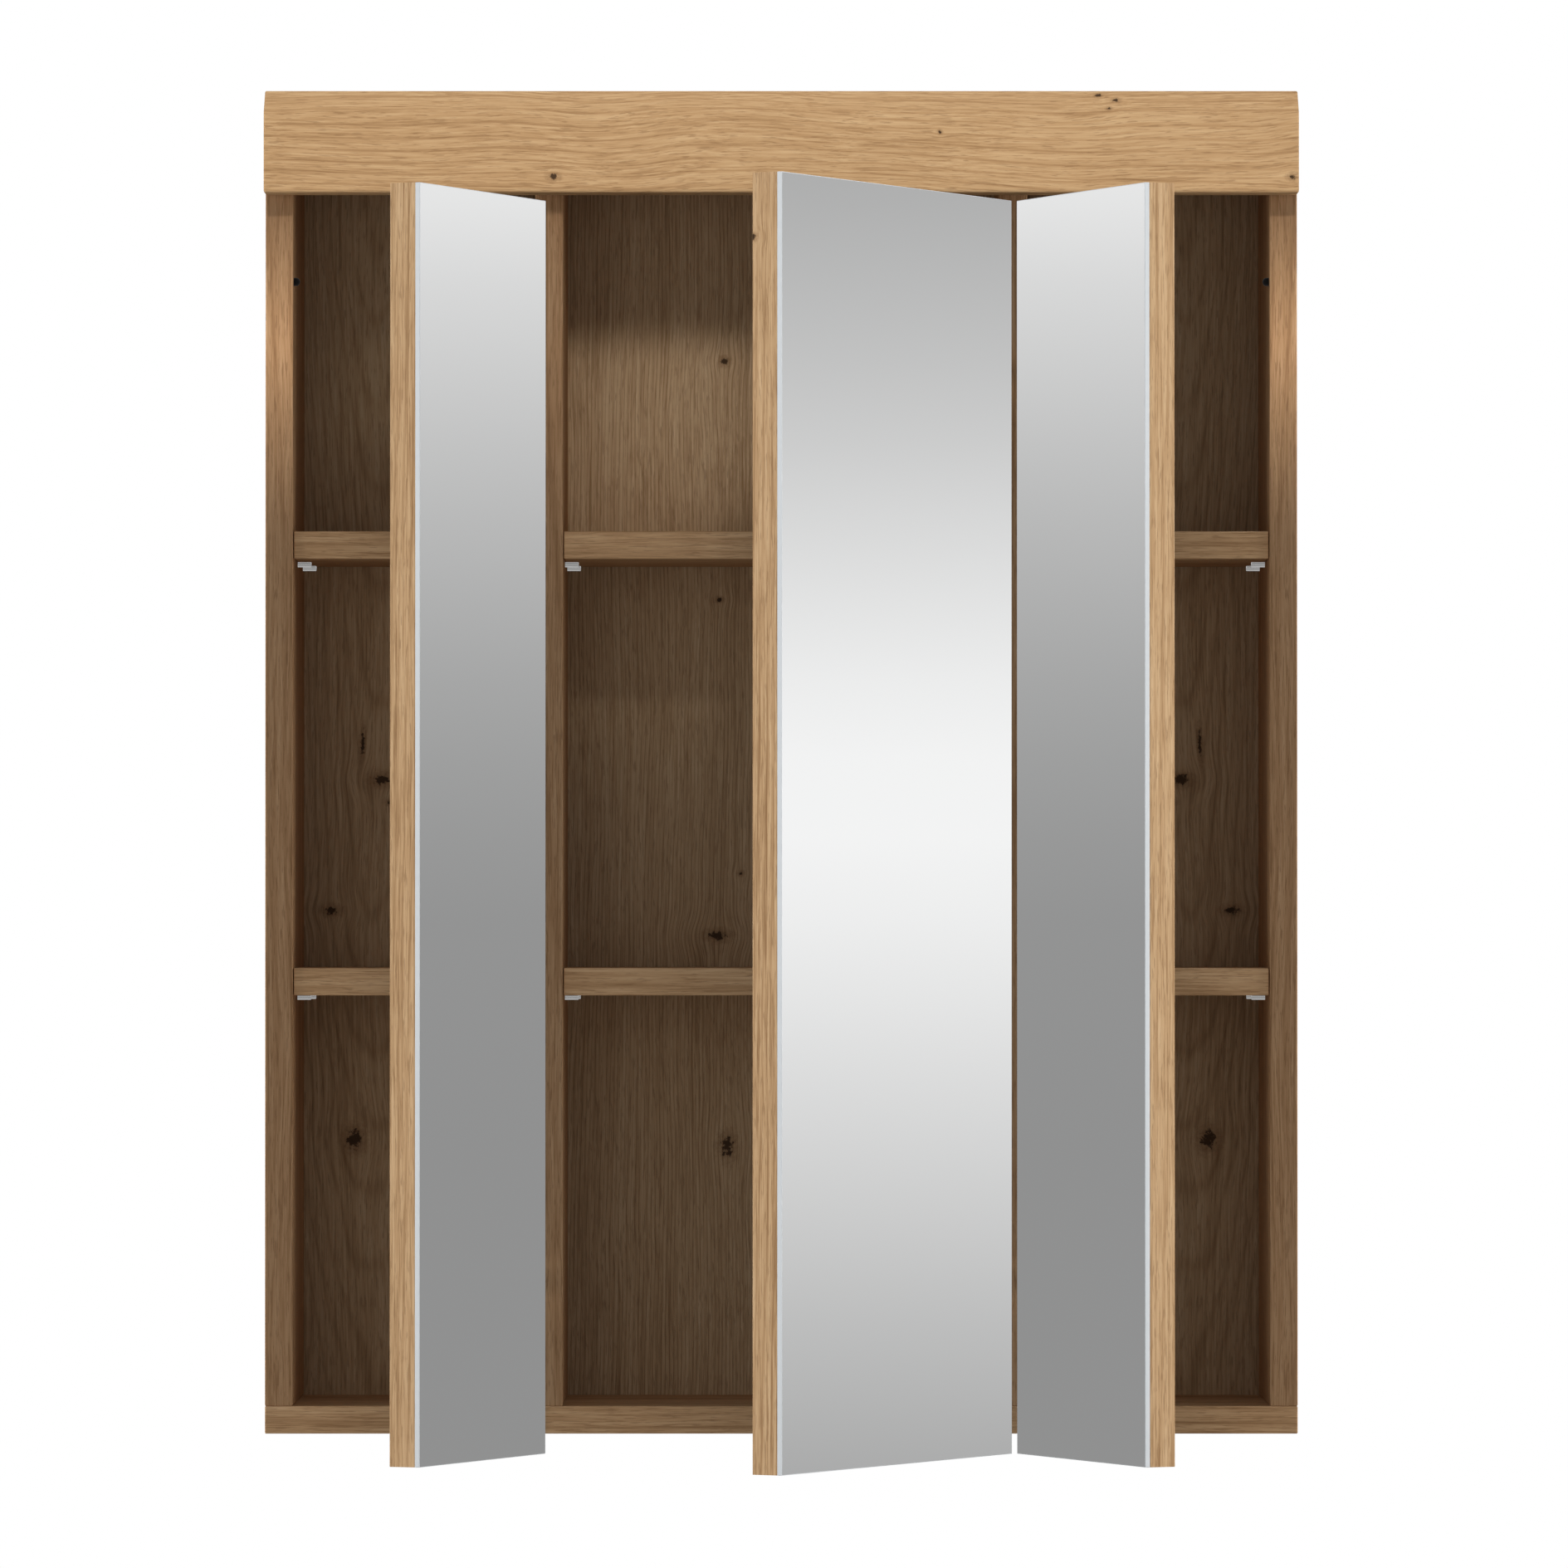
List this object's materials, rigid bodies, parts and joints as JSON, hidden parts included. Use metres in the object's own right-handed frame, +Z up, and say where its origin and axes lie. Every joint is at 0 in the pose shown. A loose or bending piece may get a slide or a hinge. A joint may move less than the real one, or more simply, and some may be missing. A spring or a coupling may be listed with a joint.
{
  "type": "mirror cabinet",
  "caption": "Wall-hung mirror cabinet in oak-look board with mirrored swing doors, loose shelves on pins and a thick crown board over the doors.",
  "frame": {"origin": "on the wall, midway between the two wall-screw holes of the hanging rail", "axes": "+X to the right seen from the front, +Y into the wall, +Z up; the doors face -Y"},
  "size_m": [0.6, 0.3935, 0.791],
  "materials": {
    "oak_decor": "matt oak-look foil on board",
    "mirror_glass": "silvered float glass",
    "nickel_steel": "nickel plated",
    "zinc_fitting": "zinc plated",
    "beech_dowel": "plain turned beech",
    "dark_plug": "dark moulded",
    "clear_bumper": "soft and clear"
  },
  "bodies": {
    "carcass": {"assembly_screws": "zinc_fitting", "back_panel": "oak_decor", "bottom_panel": "oak_decor", "bracket_screws": "zinc_fitting", "cam_bolts": "zinc_fitting", "cam_locks": "zinc_fitting", "crown_board": "oak_decor", "crown_brackets": "zinc_fitting", "fixed_leaf_screws": "zinc_fitting", "hanging_rail": "oak_decor", "hinge_pins": "nickel_steel", "left_fixed_leaves": "nickel_steel", "left_lower_shelf": "oak_decor", "left_partition": "oak_decor", "left_shelf_pins": "nickel_steel", "left_side_panel": "oak_decor", "left_upper_shelf": "oak_decor", "middle_fixed_leaves": "nickel_steel", "middle_lower_shelf": "oak_decor", "middle_shelf_pins": "nickel_steel", "middle_upper_shelf": "oak_decor", "right_fixed_leaves": "nickel_steel", "right_lower_shelf": "oak_decor", "right_partition": "oak_decor", "right_shelf_pins": "nickel_steel", "right_side_panel": "oak_decor", "right_upper_shelf": "oak_decor", "side_plugs": "dark_plug", "top_panel": "oak_decor", "wood_dowels": "beech_dowel"},
    "left_door": {"left_door_board": "oak_decor", "left_door_bumpers": "clear_bumper", "left_door_leaf_screws": "zinc_fitting", "left_door_leaves": "nickel_steel", "left_mirror": "mirror_glass"},
    "middle_door": {"middle_door_board": "oak_decor", "middle_door_bumpers": "clear_bumper", "middle_door_leaf_screws": "zinc_fitting", "middle_door_leaves": "nickel_steel", "middle_mirror": "mirror_glass"},
    "right_door": {"right_door_board": "oak_decor", "right_door_bumpers": "clear_bumper", "right_door_leaf_screws": "zinc_fitting", "right_door_leaves": "nickel_steel", "right_mirror": "mirror_glass"}
  },
  "joints": [
    {"name": "left_door_swing", "type": "hinge", "parent": "carcass", "child": "left_door", "pos_m": [-0.1443, -0.1666, -0.3955], "axis": [0, 0, 1], "range_deg": [-65.5, 24.5]},
    {"name": "middle_door_swing", "type": "hinge", "parent": "carcass", "child": "middle_door", "pos_m": [0.1257, -0.1666, -0.3955], "axis": [0, 0, 1], "range_deg": [-60, 30]},
    {"name": "right_door_swing", "type": "hinge", "parent": "carcass", "child": "right_door", "pos_m": [0.1443, -0.1666, -0.3955], "axis": [0, 0, -1], "range_deg": [-65, 25]}
  ]
}
